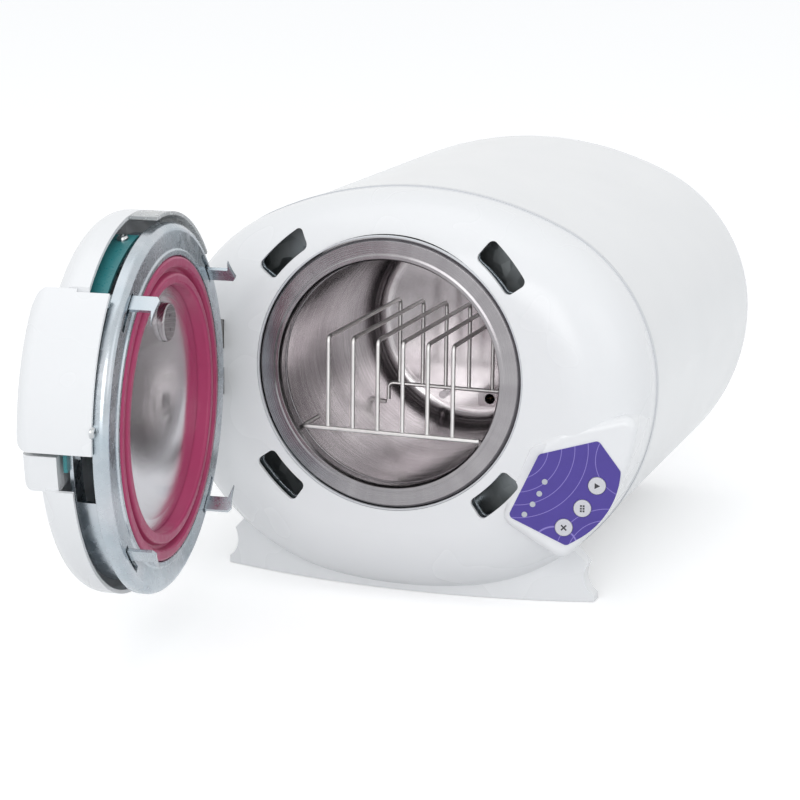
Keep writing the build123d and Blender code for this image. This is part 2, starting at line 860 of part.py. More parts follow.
# Two fuse holders with slotted caps
with BuildPart() as fuse_holders:
    places = [(fuse_x, fuse_z - 9), (fuse_x, fuse_z + 9)]
    add(cylinders(places, fuse_radius + 2, rear_y + flange_wall + 1, flange_wall + 1))
    add(cylinders(places, fuse_radius, rear_y, 30))
    with BuildSketch(front_plane(rear_y + flange_wall + 1)):
        with Locations(*places):
            Rectangle(9, 1.5)
    extrude(amount=1, mode=Mode.SUBTRACT)
save(fuse_holders.part, "fuse_holders")

# Power switch: frame, and the rocker that tilts in it about a level line
rocker_pivot = rear_y - 5
with BuildPart() as switch_frame:
    with BuildSketch(front_plane(rear_y + flange_wall)):
        with Locations((rocker_x, rocker_z)):
            RectangleRounded(rocker_width + 9, 2 * rocker_half + 11, 2)
    extrude(amount=flange_wall)
    with BuildSketch(front_plane(rear_y)):
        with Locations((rocker_x, rocker_z)):
            Rectangle(rocker_width + 4, 2 * rocker_half + 6)
    extrude(amount=18)
    with BuildSketch(front_plane(rear_y + flange_wall)):
        with Locations((rocker_x, rocker_z)):
            Rectangle(rocker_width + 2 * slip, 2 * rocker_half + 3)
    extrude(amount=18, mode=Mode.SUBTRACT)
save(switch_frame.part, "switch_frame")

with BuildPart() as power_rocker:
    pivot = (rocker_x - rocker_width / 2, rocker_pivot, axis_height + rocker_z)
    with BuildSketch(Plane(origin=pivot, x_dir=(0, 1, 0), z_dir=(1, 0, 0))):
        rise = rocker_half * sin(radians(rocker_tilt))
        with BuildLine():
            Polyline(
                (-1, -rocker_half),
                (6.5, -rocker_half),
                (6.5 - rise, 0),
                (6.5, rocker_half),
                (-1, rocker_half),
                close=True,
            )
        make_face()
    extrude(amount=rocker_width)
rocker_axis = Axis((rocker_x, rocker_pivot, axis_height + rocker_z), (1, 0, 0))
save(power_rocker.part.rotate(rocker_axis, -rocker_tilt), "power_rocker")

# Power board with its transformer, on the tray
board_top = tray_top + board_low + board_wall
with BuildPart() as power_board:
    with BuildSketch(Plane.XY.offset(tray_top + board_low)):
        with Locations(board_centre):
            Rectangle(board_width, board_length)
    extrude(amount=board_wall)
    with BuildSketch(Plane.XY.offset(tray_top)):
        with Locations(board_centre):
            with GridLocations(board_width - 10, board_length - 10, 2, 2):
                Circle(3)
    extrude(amount=board_low)
save(power_board.part, "power_board")

with BuildPart() as transformer:
    with BuildSketch(Plane.XY.offset(board_top)):
        with Locations(board_centre):
            Rectangle(44, 38)
    extrude(amount=36)
    with BuildSketch(Plane.XY.offset(board_top + 5)):
        with Locations(board_centre):
            RectangleRounded(28, 54, 4)
    extrude(amount=26)
save(transformer.part, "transformer")

# Control board on the posts behind the keypad, with a switch under each key
with BuildPart() as control_board:
    extrude(film_outline(-board_set, -board_margin), amount=-board_wall)
save(control_board.part, "control_board")

with BuildPart() as tact_switches:
    with BuildSketch(pod_plane(-board_set)):
        with Locations(*[on_pod(*place) for place in key_places]):
            Rectangle(switch_size, switch_size)
    extrude(amount=switch_height)
save(tact_switches.part, "tact_switches")

with BuildPart() as keypad_film:
    extrude(film_outline(0, 0), amount=film_wall)
    with BuildSketch(pod_plane()):
        with Locations(*[on_pod(*place) for place in key_places]):
            Circle(key_radius + key_clear)
        with Locations(*[on_pod(*place) for place in led_places]):
            Circle(led_radius)
    extrude(amount=film_wall, mode=Mode.SUBTRACT)
save(keypad_film.part, "keypad_film")

with BuildPart() as led_lenses:
    with BuildSketch(pod_plane(-panel_wall)):
        with Locations(*[on_pod(*place) for place in led_places]):
            Circle(led_radius - fit)
    extrude(amount=panel_wall + film_wall + 0.2)
save(led_lenses.part, "led_lenses")

# Keys: a cap in the film and panel, and a stem that ends above its switch
for name, place in zip(key_names, key_places):
    with BuildPart() as key:
        with BuildSketch(pod_plane(-key_skirt)):
            with Locations(on_pod(*place)):
                Circle(key_radius)
        extrude(amount=key_skirt + key_proud)
        fillet(key.faces().sort_by(Axis(pod_plane().origin, pod_plane().z_dir))[-1].edges(), 0.7)
        with BuildSketch(pod_plane(-key_skirt)):
            with Locations(on_pod(*place)):
                Circle(key_stem)
        extrude(amount=-(board_set - switch_height - key_travel - key_rest - key_skirt))
    save(key.part, name)

# Hinge brackets: two ears on leaves that reach through the panel to the bulkhead
with BuildPart() as hinge_brackets:
    for low, high in ear_spans:
        with BuildSketch(Plane.XY.offset(axis_height + low)):
            with Locations((hinge_x, hinge_y)):
                Circle(knuckle_radius)
            leaf_front = hinge_y - knuckle_radius / 2
            with Locations((leaf_x - leaf_wall / 2, bulkhead_y)):
                Rectangle(leaf_wall, bulkhead_y - leaf_front, align=(Align.MIN, Align.MAX))
                Rectangle(leaf_foot, leaf_wall, align=(Align.MIN, Align.MAX))
            with Locations((hinge_x, hinge_y)):
                Circle(pin_radius + fit, mode=Mode.SUBTRACT)
        extrude(amount=high - low)
save(hinge_brackets.part, "hinge_brackets")

pin_head = axis_height + ear_spans[1][1]
with BuildPart() as hinge_pin:
    with BuildSketch(Plane.XY.offset(axis_height + pin_low)):
        with Locations((hinge_x, hinge_y)):
            Circle(pin_radius)
    extrude(amount=pin_head - axis_height - pin_low)
    with BuildSketch(Plane.XY.offset(pin_head)):
        with Locations((hinge_x, hinge_y)):
            Circle(pin_radius + 1.5)
    extrude(amount=2)
    fillet(hinge_pin.faces().sort_by(Axis.Z)[-1].edges(), 0.8)
save(hinge_pin.part, "hinge_pin")

with BuildPart() as hinge_cap:
    with BuildSketch(Plane.XY.offset(axis_height + ear_spans[0][0])):
        with Locations((hinge_x, hinge_y)):
            Circle(pin_radius + 1.5)
    extrude(amount=-6)
    fillet(hinge_cap.faces().sort_by(Axis.Z)[0].edges(), 1)
    with BuildSketch(Plane.XY.offset(axis_height + ear_spans[0][0])):
        with Locations((hinge_x, hinge_y)):
            Circle(pin_radius + fit)
    extrude(amount=axis_height + pin_low - (axis_height + ear_spans[0][0]), mode=Mode.SUBTRACT)
save(hinge_cap.part, "hinge_cap")

# Hinge arm of the door: knuckle, strap and two posts to the pan
knuckle_low, knuckle_high = knuckle_span
with BuildPart() as hinge_arm:
    with BuildSketch(Plane.XY.offset(axis_height + knuckle_low)):
        with Locations((hinge_x, hinge_y)):
            Circle(knuckle_radius)
        with Locations((hinge_x, ring_y - arm_back)):
            Rectangle(arm_length, arm_wall, align=(Align.MIN, Align.MAX))
        with Locations((hinge_x, hinge_y)):
            Circle(pin_radius + fit, mode=Mode.SUBTRACT)
    extrude(amount=knuckle_high - knuckle_low)
    middle = (knuckle_low + knuckle_high) / 2
    posts = [(hinge_x + arm_length - 12 - 26 * k, middle) for k in range(2)]
    add(cylinders(posts, 5, ring_y - pan_floor, arm_back - pan_floor))
save_on_door(hinge_arm.part, "hinge_arm")

# Door pan: pressed dish that holds the gasket, with arcs for the claws
with BuildPart() as door_pan:
    seat = gasket_radius + slip
    back = ring_y - pan_floor
    inner = pan_radius - pan_wall
    profile = [
        (back + pan_wall, 0),
        (back + pan_wall, seat),
        (ring_y - pan_front + pan_lip_rise, seat),
        (ring_y - pan_front + pan_lip_rise, seat + pan_lip),
        (ring_y - pan_front, seat + pan_lip + pan_lip_rise),
        (ring_y - pan_front, pan_radius),
        (ring_y - pan_edge, pan_radius),
        (ring_y - pan_edge, inner),
        (ring_y - pan_front - pan_wall, inner),
        (ring_y - pan_front - pan_wall, seat + pan_wall),
        (back, seat + pan_wall),
        (back, 0),
    ]
    rounds = [
        ((ring_y - pan_front, pan_radius), pan_round),
        ((ring_y - pan_front - pan_wall, inner), pan_round - pan_wall),
        ((ring_y - pan_front + pan_lip_rise, seat), pan_wall / 2),
    ]
    add(turned(profile, rounds))
    for k in range(claws):
        middle = 45 + 90 * k + claw_lead
        low = middle - claw_sweep / 2 - lock_turn - claw_gap
        high = middle + claw_sweep / 2 + claw_gap
        arc = sector(claw_radius + 1, claw_radius - claw_wall - 1, low, high, ring_y, pan_edge + 1)
        add(arc, mode=Mode.SUBTRACT)
save_on_door(door_pan.part, "door_pan")

# Door gasket with two lips and a groove between them
with BuildPart() as gasket:
    back = ring_y - gasket_back
    front = ring_y - gasket_gap
    middle = (gasket_inner + gasket_radius) / 2
    profile = [
        (back, gasket_inner),
        (back, gasket_radius),
        (front, gasket_radius),
        (front, middle + 2.5),
        (front - gasket_groove, middle + 1),
        (front - gasket_groove, middle - 1),
        (front, middle - 2.5),
        (front, gasket_inner),
    ]
    lips = [gasket_radius, middle + 2.5, middle - 2.5, gasket_inner]
    add(turned(profile, [((front, radius), 2) for radius in lips]))
save_on_door(gasket.part, "gasket")

# Pressure disc: spun sheet, crowned towards the chamber
vent_place = (-4, vent_height)
with BuildPart() as pressure_disc:
    back = ring_y - gasket_back
    rim = gasket_inner - disc_clear
    with BuildSketch(side_plane()):
        with BuildLine():
            Line((back, 0), (back, rim))
            Line((back, rim), (back + disc_wall, rim))
            Line((back + disc_wall, rim), (back + disc_wall, rim - 8))
            ThreePointArc(
                (back + disc_wall, rim - 8),
                (back + disc_wall + 0.7 * disc_rise, 0.55 * rim),
                (back + disc_wall + disc_rise, 3),
            )
            Line((back + disc_wall + disc_rise, 3), (back + disc_wall + disc_rise, 0))
            Line((back + disc_wall + disc_rise, 0), (back, 0))
        make_face()
    revolve(axis=chamber_axis)
    add(cylinders([vent_place], vent_radius + slip, back + 10, 10), mode=Mode.SUBTRACT)
save_on_door(pressure_disc.part, "pressure_disc")

# Vent fitting in the disc, with two holes
with BuildPart() as vent_fitting:
    back = ring_y - gasket_back
    depth = disc_wall + 0.7 * disc_rise + vent_wall
    add(cylinders([vent_place], vent_radius, back + depth, depth))
    fillet(vent_fitting.faces().sort_by(Axis.Y)[-1].edges(), 1.5)
    holes = [(vent_place[0] - 0.5, vent_height - 4.5), (vent_place[0] + 0.5, vent_height + 4.5)]
    add(cylinders(holes, 1.3, back + depth, 4), mode=Mode.SUBTRACT)
save_on_door(vent_fitting.part, "vent_fitting")

# Spindle on the back of the pan, and the ring that keeps the claw plate on it
with BuildPart() as spindle:
    shoulder = claw_plate_front - claw_plate_wall - slip
    add(cylinders([(0, 0)], hub_shoulder, ring_y - pan_floor, shoulder - pan_floor))
    add(cylinders([(0, 0)], hub_radius - fit, ring_y - pan_floor, claw_plate_front + 4 - pan_floor))
save_on_door(spindle.part, "spindle")

with BuildPart() as lock_retainer:
    add(ring(hub_shoulder, hub_shoulder - hub_radius, ring_y - claw_plate_front - slip, 2))
save_on_door(lock_retainer.part, "lock_retainer")


def claw(angle):
    """Hooked arm cut from a band: straight shank, then a barb on its clockwise side"""
    half = radians(claw_sweep / 2) * claw_radius
    reach = half + radians(barb_sweep) * claw_radius
    root = ring_y - claw_plate_front + claw_plate_wall
    catch = ring_y + plate_set + plate_wall + claw_clear
    tip = catch + barb_depth
    outward = (cos(radians(angle)), 0, sin(radians(angle)))
    with BuildPart() as hook:
        with BuildSketch(Plane(origin=(0, 0, axis_height), x_dir=(0, 1, 0), z_dir=outward)):
            with BuildLine():
                Polyline((catch, -half), (root, -half), (root, half), (tip - 2, half), (tip, half - 3))
                ThreePointArc((tip, half - 3), (tip - 1.5, -half - 1), (catch + barb_rake, -reach))
                Line((catch + barb_rake, -reach), (catch, -half))
            make_face()
        extrude(amount=claw_radius + 5)
        add(ring(claw_radius, claw_wall, tip + 1, tip - root + 2), mode=Mode.INTERSECT)
    return hook.part


# Claws, one at the end of each spoke of the claw plate, the lower right one on a turned-in band
with BuildPart() as claw_set:
    for k in range(claws):
        add(claw(45 + 90 * k + claw_lead))
    band_y = ring_y - claw_plate_front + claw_plate_wall + claw_band_reach
    add(sector(claw_radius, claw_radius - claw_wall, claw_band_start, claw_band_end, band_y, claw_band_reach))
save_on_door(claw_set.part, "claws")

# Claw plate: ring, hub and four spokes
screw_places = [polar((lever_inner + claw_radius) / 2, angle) for angle in lever_screws]
with BuildPart() as claw_plate:
    with BuildSketch(front_plane(ring_y - claw_plate_front + claw_plate_wall)):
        Circle(claw_radius)
        Circle(claw_ring_inner, mode=Mode.SUBTRACT)
        Circle(claw_hub)
        with PolarLocations(claw_ring_inner / 2, claws, start_angle=45 + spoke_lead):
            Rectangle(claw_ring_inner + 4, spoke_width)
        Circle(hub_radius, mode=Mode.SUBTRACT)
        with Locations(*screw_places):
            Circle(screw_radius + fit, mode=Mode.SUBTRACT)
    extrude(amount=claw_plate_wall)
save_on_door(claw_plate.part, "claw_plate")

# Locking lever: curved plate on the claw plate, with a rim turned in round the claws
lever_front = ring_y - claw_plate_front - lever_wall
grip_top = degrees(atan2(sqrt(cover_radius**2 - grip_chord**2), grip_chord))
with BuildPart() as lock_lever:
    back = ring_y - claw_plate_front
    rim_y = back + lever_rim
    add(sector(lever_radius, lever_inner, lever_start, lever_end, back, lever_wall))
    add(sector(lever_radius, lever_radius - claw_wall, lever_rim_start, lever_end, rim_y, lever_rim))
    add(cylinders(screw_places, screw_radius + fit, back, lever_wall), mode=Mode.SUBTRACT)
save_on_door(lock_lever.part, "lock_lever")

# Lever screws with a nut behind the claw plate
with BuildPart() as lever_screws_set:
    add(screws(screw_places, lever_front, screw_head, screw_rise, screw_radius, lever_wall + claw_plate_wall))
    with BuildSketch(front_plane(ring_y - claw_plate_front + claw_plate_wall + 2)):
        with Locations(*screw_places):
            RegularPolygon(3.5, 6)
    extrude(amount=2)
save_on_door(lever_screws_set.part, "lever_screws")


def grip_form(inset, low, depth):
    """Segment of a disc beyond a chord, rounded in front"""
    edge = grip_chord + inset
    reach = 2 * cover_radius
    with BuildPart() as form:
        with BuildSketch(front_plane(ring_y - grip_front + depth)):
            Circle(cover_radius - inset)
            drop = reach * sin(radians(low)) / cos(radians(low))
            with BuildLine():
                Polyline(
                    (edge, edge * drop / reach),
                    (reach, drop),
                    (reach, reach),
                    (edge, reach),
                    close=True,
                )
            make_face(mode=Mode.INTERSECT)
        extrude(amount=depth - inset)
        fillet(form.faces().sort_by(Axis.Y)[0].edges(), grip_round - inset)
    return form.part


# Grip: hollow moulding on the lever, open behind and at its lower end
grip_depth = grip_front - claw_plate_front - lever_wall
with BuildPart() as grip:
    add(grip_form(0, grip_low, grip_depth))
    add(grip_form(grip_wall, grip_low - 20, grip_depth), mode=Mode.SUBTRACT)
    skirt_top = degrees(acos(grip_chord / (cover_radius - grip_wall)))
    skirt_depth = claw_plate_front + lever_wall - grip_edge
    add(sector(cover_radius, cover_radius - grip_wall, grip_low, skirt_top, ring_y - grip_edge, skirt_depth))
    slant = Plane(origin=(cover_radius, ring_y - grip_edge, 0), z_dir=(grip_slant, 1, 0))
    split(bisect_by=slant, keep=Keep.BOTTOM)
save_on_door(grip.part, "grip", cover_rise)


def cover_form(inset):
    """Disc of the door cover, rounded in front and open behind"""
    with BuildPart() as form:
        add(cylinders([(0, 0)], cover_radius - inset, ring_y - cover_edge, cover_front - cover_edge - inset))
        fillet(form.faces().sort_by(Axis.Y)[0].edges(), cover_round - inset)
    return form.part


def cover_cut(grow):
    """Space that the cover leaves for the grip at both ends of its turn"""
    edge = grip_chord - grip_clear - grow
    low = stop_angle - degrees(grow / cover_radius)
    turned_edge = edge * cos(radians(lock_turn))
    knee = (turned_edge - 1, turned_edge * sin(radians(low)) / cos(radians(low)))
    reach = 2 * cover_radius
    with BuildPart() as cut:
        with BuildSketch(front_plane(ring_y)):
            with BuildLine():
                Polyline(
                    (edge, reach),
                    (edge, 0),
                    knee,
                    (reach * cos(radians(low)), reach * sin(radians(low))),
                    (reach, reach),
                    close=True,
                )
            make_face()
        extrude(amount=grip_front + 10)
    return cut.part


def cover_body(inset):
    """Cover disc with the space for the grip taken out"""
    with BuildPart() as form:
        add(cover_form(inset))
        add(cover_cut(inset), mode=Mode.SUBTRACT)
    return form.part


def stop_block(back):
    """Block below the grip, small enough for the grip to slide over it"""
    inset = grip_wall + grip_clear
    block = grip_form(inset, stop_angle + lock_turn - 1, grip_front - back)
    with BuildPart() as form:
        add(block.rotate(chamber_axis, lock_turn))
        keep = sector(cover_radius, cover_radius / 3, stop_angle - 2, grip_low - 1.5, ring_y, grip_front)
        add(keep, mode=Mode.INTERSECT)
    return form.part


# Door cover: shell with a straight-sided gap for the grip and a block that the grip slides over
with BuildPart() as door_cover:
    add(cover_body(0))
    add(cover_body(cover_wall), mode=Mode.SUBTRACT)
    liner = claw_plate_front + lever_wall + screw_rise + lever_gap
    clearance = cylinders([(0, 0)], cover_radius - cover_wall, ring_y - cover_edge, liner - cover_edge)
    add(clearance, mode=Mode.SUBTRACT)
    add(stop_block(liner))
    with BuildSketch(front_plane(ring_y)):
        with Locations((-hinge_notch, 0)):
            Rectangle(40, 2 * hinge_notch_half, align=(Align.MAX, Align.CENTER))
    extrude(amount=cover_front, mode=Mode.SUBTRACT)
save_on_door(door_cover.part, "door_cover", cover_rise)

# Shroud: clear grey band in the upper gap between cover and panel
shroud_depth = cover_edge - shroud_front
shroud_y = ring_y - shroud_front
band = sector(cover_radius, cover_radius - shroud_wall, shroud_start, shroud_end, shroud_y, shroud_depth)
save_on_door(band, "door_shroud", cover_rise)

# Posts from the pan to the cover, between the spokes
post_places = [polar(post_ring, post_start + 90 * k) for k in range(claws)]
post_length = cover_front - cover_wall - pan_floor
posts = cylinders(post_places, post_radius, ring_y - pan_floor, post_length)
save_on_door(posts, "cover_posts")


def bent_wire(points, bend):
    """Round wire along straight runs with one bend radius"""
    with BuildPart() as rod:
        with BuildLine() as path:
            FilletPolyline(*points, radius=bend)
        with BuildSketch(Plane(origin=path.line @ 0, z_dir=path.line % 0)):
            Circle(wire / 2)
        sweep()
    return rod.part


# Rack: six upright loops on two cross wires that rest on the chamber wall
floor_z = axis_height + rack_floor
loop_back = loop_front + loop_length
loop_foot = floor_z + wire / 2
loop_crest = axis_height + loop_top
for name, side in (("rack_loops_left", -1), ("rack_loops_right", 1)):
    with BuildPart() as rack_loops:
        for k in range(loops // 2):
            x = side * (k + 0.5) * loop_pitch
            route = [(x, loop_front, loop_foot), (x, loop_front, loop_crest)]
            route += [(x, loop_back, loop_crest), (x, loop_back, loop_foot)]
            add(bent_wire(route, loop_round))
    save(rack_loops.part, name)

# The cross wires end just short of the wall, and their bends lie beside it
end_span = sqrt((chamber_radius - slip) ** 2 - (rack_floor - wire / 2) ** 2)
bend_span = sqrt((chamber_radius - slip - wire / 2) ** 2 - rack_floor**2)
foot_x_in = bend_span - drop_in
foot_z = axis_height - sqrt((chamber_radius - slip) ** 2 - (foot_x_in + wire / 2) ** 2)
front_route = [(end_span, loop_front, floor_z), (-bend_span, loop_front, floor_z)]
front_route += [(-bend_span, loop_front + runner, floor_z)]
save(bent_wire(front_route, loop_round), "rack_front_wire")

rear_route = [(end_span, loop_back, floor_z), (-foot_x_in, loop_back, floor_z)]
rear_route += [(-foot_x_in, loop_back, foot_z)]
save(bent_wire(rear_route, loop_round), "rack_rear_wire")
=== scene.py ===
import json
from math import atan2, cos, pi, radians, sin

import bmesh
import bpy
from mathutils import Matrix, Vector


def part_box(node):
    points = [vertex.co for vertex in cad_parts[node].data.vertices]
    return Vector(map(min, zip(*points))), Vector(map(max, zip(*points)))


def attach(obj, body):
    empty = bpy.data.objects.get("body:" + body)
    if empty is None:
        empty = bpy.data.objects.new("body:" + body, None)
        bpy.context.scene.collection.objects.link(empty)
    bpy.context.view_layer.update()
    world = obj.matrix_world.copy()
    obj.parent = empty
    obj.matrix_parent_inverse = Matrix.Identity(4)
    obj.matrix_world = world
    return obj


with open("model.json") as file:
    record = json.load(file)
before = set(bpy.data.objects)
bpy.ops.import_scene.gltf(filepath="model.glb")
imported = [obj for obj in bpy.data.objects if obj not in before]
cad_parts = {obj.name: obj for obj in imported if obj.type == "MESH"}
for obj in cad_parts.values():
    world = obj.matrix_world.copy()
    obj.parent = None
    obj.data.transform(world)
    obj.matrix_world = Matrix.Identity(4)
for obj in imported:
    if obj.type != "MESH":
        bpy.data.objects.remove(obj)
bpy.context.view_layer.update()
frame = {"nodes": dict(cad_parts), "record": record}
nodes = frame["nodes"]

MM = 0.001

# Camera, fitted to the picture: degrees round and above the object, degrees of roll, metres
AZIMUTH = 18.80
ELEVATION = 12.94
ROLL = 0.663
LENS = 115.78
CAMERA_PLACE = Vector((0.5642, -1.6598, 0.5405))

# Places on the object, read from the frame
ring_low, ring_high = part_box("chamber_ring")
CHAMBER = Vector((0.0, ring_low.y, (ring_low.z + ring_high.z) / 2))
hinge_low, hinge_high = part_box("hinge_pin")
HINGE = (hinge_low + hinge_high) / 2
DOOR_ANGLE = radians(84.5)
POD_SLOPE = 0.2
POD_FACE = -55.7
POD_OUT = Vector((POD_SLOPE, -1.0, 0.0)).normalized()
POD_RIGHT = Vector((1.0, POD_SLOPE, 0.0)).normalized()


def centre(name):
    """Middle of a CAD node's box"""
    low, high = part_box(name)
    return (low + high) / 2


def opened(x, y, z):
    """Where a point of the closed door stands now, from millimetres about the chamber ring's face"""
    point = Vector((x, y, z)) * MM + CHAMBER - HINGE
    turned = Matrix.Rotation(-DOOR_ANGLE, 3, "Z") @ point
    return turned + HINGE


DOOR = opened(0, 0, 0)
DOOR_OUT = (opened(0, -1, 0) - DOOR).normalized()


# Materials

def colour(code):
    """sRGB hex to the linear colour that a shader takes"""
    parts = [int(code[i:i + 2], 16) / 255 for i in (1, 3, 5)]
    return [p / 12.92 if p < 0.04045 else ((p + 0.055) / 1.055) ** 2.4 for p in parts] + [1.0]


def add_node(tree, kind, inputs=None, **settings):
    """Add a node, set it up, and link or fill its inputs"""
    made = tree.nodes.new("ShaderNode" + kind)
    for name, value in settings.items():
        setattr(made, name, value)
    for key, value in (inputs or {}).items():
        if isinstance(value, bpy.types.NodeSocket):
            tree.links.new(value, made.inputs[key])
        else:
            made.inputs[key].default_value = value
    return made


def new_material(name, **values):
    """A Principled material with constant values on its own sockets"""
    material = bpy.data.materials.new(name)
    material.use_nodes = True
    shader = material.node_tree.nodes["Principled BSDF"]
    for key, value in values.items():
        shader.inputs[key.replace("_", " ").title().replace("Ior", "IOR")].default_value = value
    return material, material.node_tree, shader


def coordinates(tree, middle=(0, 0, 0), turn=(0, 0, 0), stretch=(1, 1, 1)):
    """Object coordinates in metres, centred, turned and stretched"""
    source = add_node(tree, "TexCoord").outputs["Object"]
    moved = add_node(tree, "VectorMath", {0: source, 1: tuple(middle)}, operation="SUBTRACT")
    return add_node(tree, "Mapping", {"Vector": moved.outputs[0], "Rotation": turn, "Scale": stretch}).outputs[0]


def noise(tree, vector, size, detail=2.0, roughness=0.5):
    """Noise with features about size millimetres across"""
    inputs = {"Vector": vector, "Scale": 1 / (size * MM), "Detail": detail, "Roughness": roughness}
    return add_node(tree, "TexNoise", inputs).outputs["Fac"]


def spread(tree, value, low, high, start=0.3, end=0.7):
    """Remap a texture value to a range"""
    inputs = {"Value": value, "From Min": start, "From Max": end, "To Min": low, "To Max": high}
    return add_node(tree, "MapRange", inputs).outputs["Result"]


def blend_colours(tree, value, first, second):
    """Colour between two hex colours, or sockets, by a texture value"""
    ends = [colour(c) if isinstance(c, str) else c for c in (first, second)]
    return add_node(tree, "Mix", {0: value, 6: ends[0], 7: ends[1]}, data_type="RGBA").outputs[2]


def bump(tree, height, depth, strength=1.0, normal=None):
    """Normal of a surface whose texture is depth millimetres deep"""
    inputs = {"Height": height, "Distance": depth * MM, "Strength": strength}
    if normal:
        inputs["Normal"] = normal
    return add_node(tree, "Bump", inputs).outputs["Normal"]


def soft_edges(tree, radius):
    """Normal that rounds sharp edges off by radius millimetres"""
    return add_node(tree, "Bevel", {"Radius": radius * MM}, samples=6).outputs["Normal"]


def link(tree, shader, **sockets):
    """Link texture outputs to the shader's sockets"""
    for key, value in sockets.items():
        tree.links.new(value, shader.inputs[key.replace("_", " ").title()])


def moulded(name, pale, shaded, rough=(0.2, 0.3)):
    """Injection-moulded ABS: even colour, soft gloss and a faint ripple from the mould"""
    material, tree, shader = new_material(name, IOR=1.52, specular_ior_level=0.5)
    place = coordinates(tree)
    broad = noise(tree, place, 160, 1)
    link(tree, shader,
         base_color=blend_colours(tree, broad, pale, shaded),
         roughness=spread(tree, noise(tree, place, 50, 1), *rough),
         normal=bump(tree, noise(tree, place, 30, 0), 0.01, 0.3))
    return material


def enamelled(name, pale, shaded):
    """Stove-enamelled sheet steel: broad orange peel under a gloss coat"""
    material, tree, shader = new_material(name, IOR=1.5, coat_weight=0.35, coat_roughness=0.12)
    place = coordinates(tree)
    link(tree, shader,
         base_color=blend_colours(tree, noise(tree, place, 90, 2), pale, shaded),
         roughness=spread(tree, noise(tree, place, 40, 1), 0.32, 0.4),
         normal=bump(tree, noise(tree, place, 12, 0), 0.008, 0.4))
    return material


def radius_of(tree, place):
    """Distance from the local Y axis, and the angle about it"""
    split = add_node(tree, "SeparateXYZ", {0: place}).outputs
    flat = add_node(tree, "CombineXYZ", {0: split[0], 2: split[2]}).outputs[0]
    length = add_node(tree, "VectorMath", {0: flat}, operation="LENGTH").outputs["Value"]
    angle = add_node(tree, "Math", {0: split[2], 1: split[0]}, operation="ARCTAN2").outputs[0]
    return length, angle, flat


def lathe_lines(tree, length, pitch):
    """Rings of a turning tool, pitch millimetres apart on average"""
    inputs = {"W": length, "Scale": 1 / (pitch * MM), "Detail": 3.0, "Roughness": 0.7}
    return add_node(tree, "TexNoise", inputs, noise_dimensions="1D").outputs["Fac"]


def turned_steel(name, middle, turn, pale, dark, rough, pitch=0.5, painted_streak_lift=0.25, grip=0.6):
    """Stainless steel turned or spun on a lathe: fine rings that draw highlights out radially, and a painted
    highlight of bright and dark spokes round the axis in the colour
    """
    material, tree, shader = new_material(name, metallic=1.0, anisotropic=grip)
    place = coordinates(tree, middle, turn)
    length, angle, flat = radius_of(tree, place)
    rings = lathe_lines(tree, length, pitch)
    # Painted highlight: spokes of light and dark round the axis, painted into the colour over the lathe rings and
    # lifted towards the pale tone by a constant
    inputs = {"W": angle, "Scale": 5.0, "Detail": 4.0}
    painted_highlight_rays = add_node(tree, "TexNoise", inputs, noise_dimensions="1D").outputs["Fac"]
    cloud = add_node(tree, "Math", {0: rings, 1: painted_highlight_rays, 2: painted_streak_lift}, operation="MULTIPLY_ADD").outputs[0]
    unturned = [-t for t in turn]
    around = add_node(tree, "VectorMath", {0: flat, 1: (0, 1, 0)}, operation="CROSS_PRODUCT").outputs[0]
    tangent = add_node(tree, "Mapping", {"Vector": around, "Rotation": unturned}, vector_type="VECTOR").outputs[0]
    link(tree, shader,
         base_color=blend_colours(tree, spread(tree, cloud, 0, 1, 0.25, 0.95), dark, pale),
         roughness=spread(tree, rings, *rough),
         normal=bump(tree, rings, 0.01, 0.35, soft_edges(tree, 0.4)),
         tangent=tangent)
    return material


def brushed_steel(name, stretch, pale, dark, rough=(0.25, 0.42), depth=0.02, size=1.2, tarnish=60):
    """Brushed stainless sheet: long scratches along one direction over a slow change of tone"""
    material, tree, shader = new_material(name, metallic=1.0)
    fine = noise(tree, coordinates(tree, stretch=stretch), size, 5, 0.65)
    slow = noise(tree, coordinates(tree), tarnish, 3)
    tone = add_node(tree, "Math", {0: fine, 1: slow}, operation="MULTIPLY").outputs[0]
    link(tree, shader,
         base_color=blend_colours(tree, spread(tree, tone, 0, 1, 0.12, 0.42), dark, pale),
         roughness=spread(tree, fine, *rough),
         normal=bump(tree, fine, depth, 0.4, soft_edges(tree, 0.3)))
    return material


def plated(name, pale, dark, tint, rough=(0.18, 0.34), edge=0.5):
    """Zinc-plated and passivated pressing: cloudy blue-grey film on a smooth metal"""
    material, tree, shader = new_material(name, metallic=1.0)
    place = coordinates(tree)
    cloud = noise(tree, place, 28, 3, 0.6)
    base = blend_colours(tree, spread(tree, cloud, 0, 1), dark, pale)
    film = spread(tree, noise(tree, place, 45, 2), 0, 0.55)
    link(tree, shader,
         base_color=blend_colours(tree, film, base, tint),
         roughness=spread(tree, noise(tree, place, 7, 4), *rough),
         normal=bump(tree, noise(tree, place, 4, 2), 0.006, 0.3, soft_edges(tree, edge)))
    return material


def wire_steel(name):
    """Electropolished stainless wire: bright, a little uneven along its length"""
    material, tree, shader = new_material(name, metallic=1.0)
    place = coordinates(tree)
    link(tree, shader,
         base_color=blend_colours(tree, noise(tree, place, 8, 3), "#D2D0CE", "#F2F1F0"),
         roughness=spread(tree, noise(tree, place, 1.2, 3), 0.3, 0.45),
         normal=bump(tree, noise(tree, place, 0.8, 2), 0.01, 0.4))
    return material


